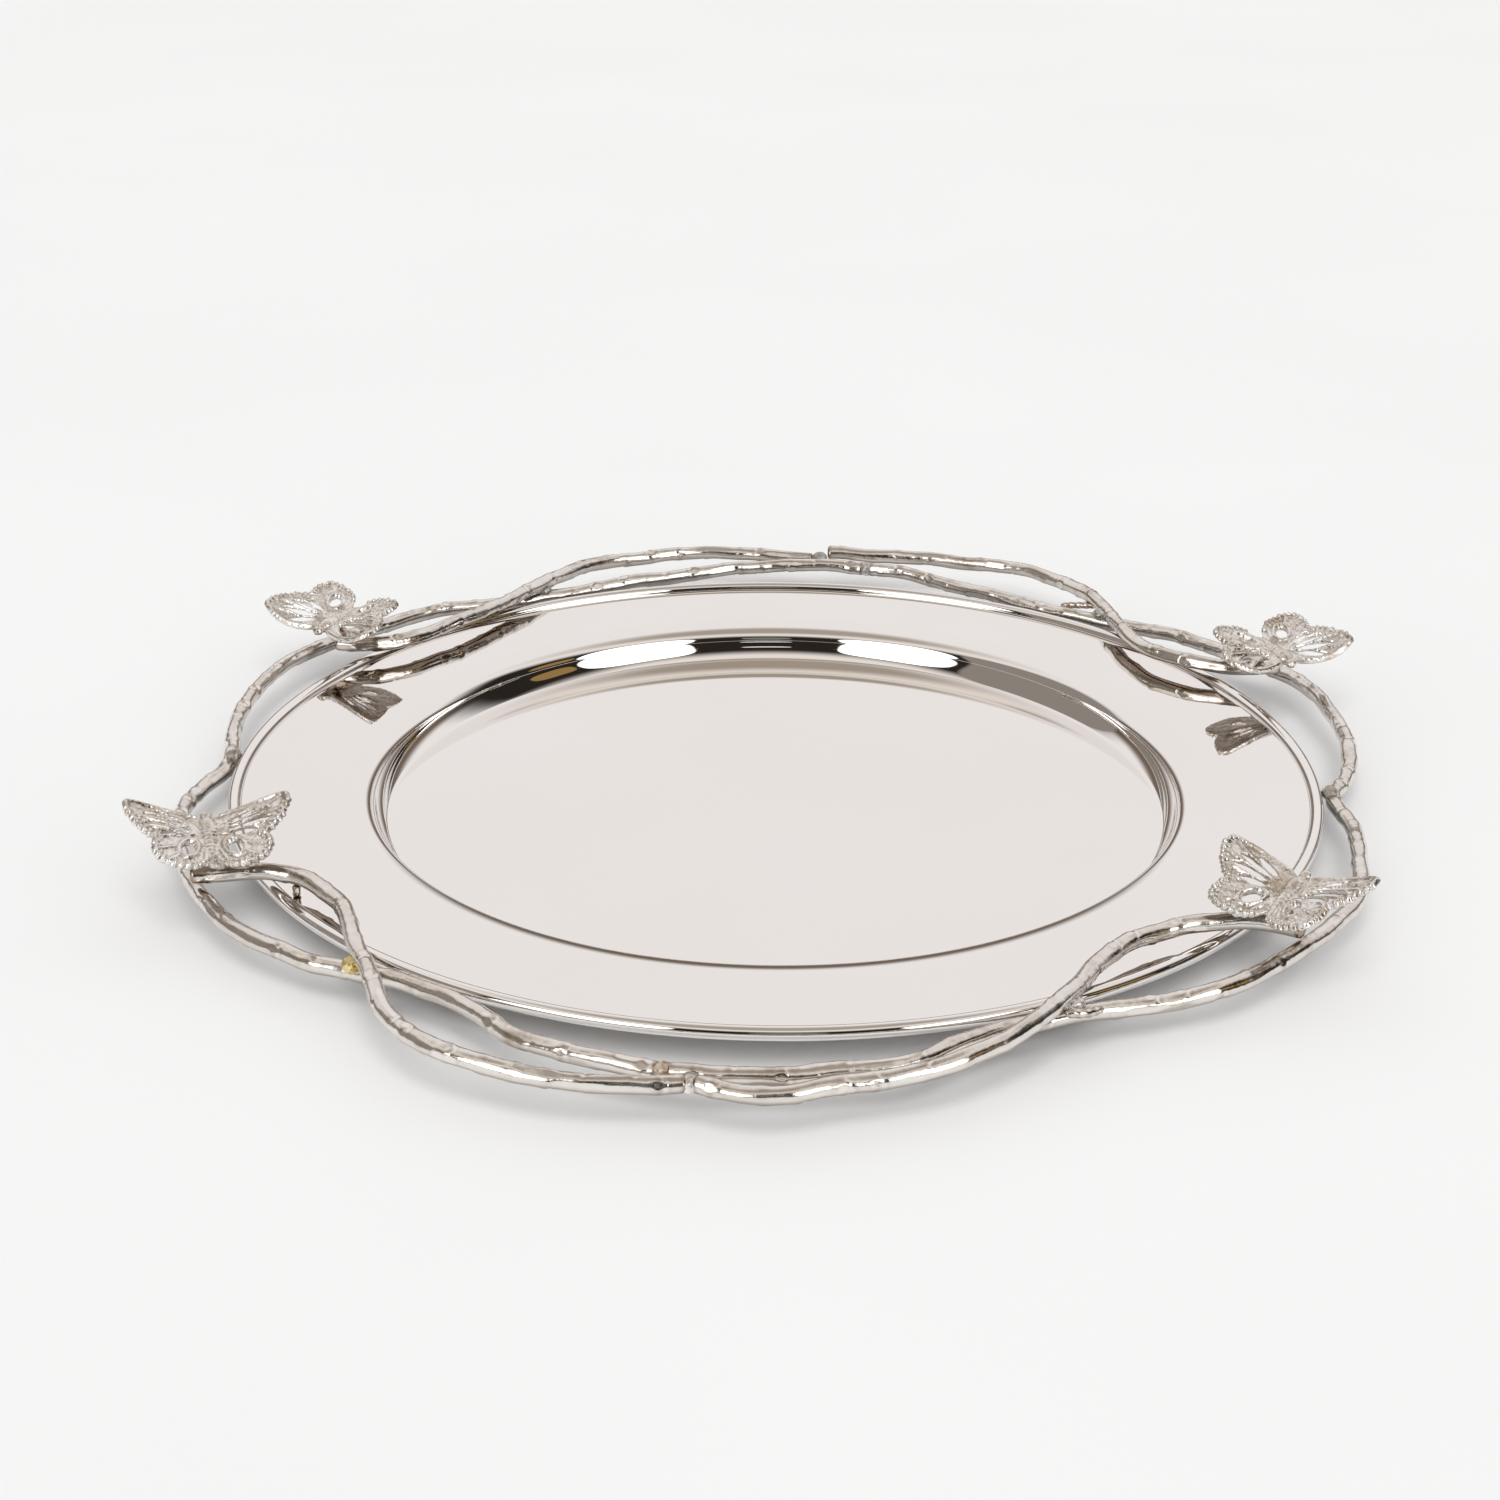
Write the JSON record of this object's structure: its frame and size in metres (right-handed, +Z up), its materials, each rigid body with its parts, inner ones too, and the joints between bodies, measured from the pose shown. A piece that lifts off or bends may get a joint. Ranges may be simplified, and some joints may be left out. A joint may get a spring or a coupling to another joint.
{
  "type": "serving tray",
  "caption": "Round mirror-polished serving tray with a shallow well, framed by hammered twig rods that weave over its rim, with openwork butterflies where they meet.",
  "frame": {"origin": "centre of the dish's flat underside, on the table plane", "axes": "+Z up; +X through the two places where the ring rods touch the rim; +Y towards the back arc rods"},
  "size_m": [0.3854, 0.4182, 0.0392],
  "materials": {
    "mirror_steel": "mirror-polished stainless steel sheet",
    "nickel_rod": "bright nickel plate over hammered, hand-bent rod",
    "nickel_cast": "bright nickel plate over a grainy casting",
    "solder": "plated solder drop, dull in places with brass or brown showing"
  },
  "bodies": {
    "root": {"tray_dish": "mirror_steel", "ring_rod_left": "nickel_rod", "ring_rod_right": "nickel_rod", "arc_rod_front_left": "nickel_rod", "arc_rod_front_right": "nickel_rod", "arc_rod_back_left": "nickel_rod", "arc_rod_back_right": "nickel_rod", "butterfly_front_left": "nickel_cast", "butterfly_front_right": "nickel_cast", "butterfly_back_left": "nickel_cast", "butterfly_back_right": "nickel_cast", "prong_front_right": "nickel_rod", "prong_back_right": "nickel_rod", "rest_stub_front_left": "nickel_rod", "solder_rim_left": "solder", "solder_rim_right": "solder", "solder_crossing_front_left": "solder", "solder_crossing_front_right": "solder", "solder_crossing_back_left": "solder", "solder_crossing_back_right": "solder", "solder_join_front_ring": "solder", "solder_join_front_arc": "solder", "solder_join_back_ring": "solder", "solder_join_back_arc": "solder", "solder_seat_front_left": "solder", "solder_seat_front_right": "solder", "solder_seat_back_left": "solder", "solder_seat_back_right": "solder"}
  },
  "joints": []
}
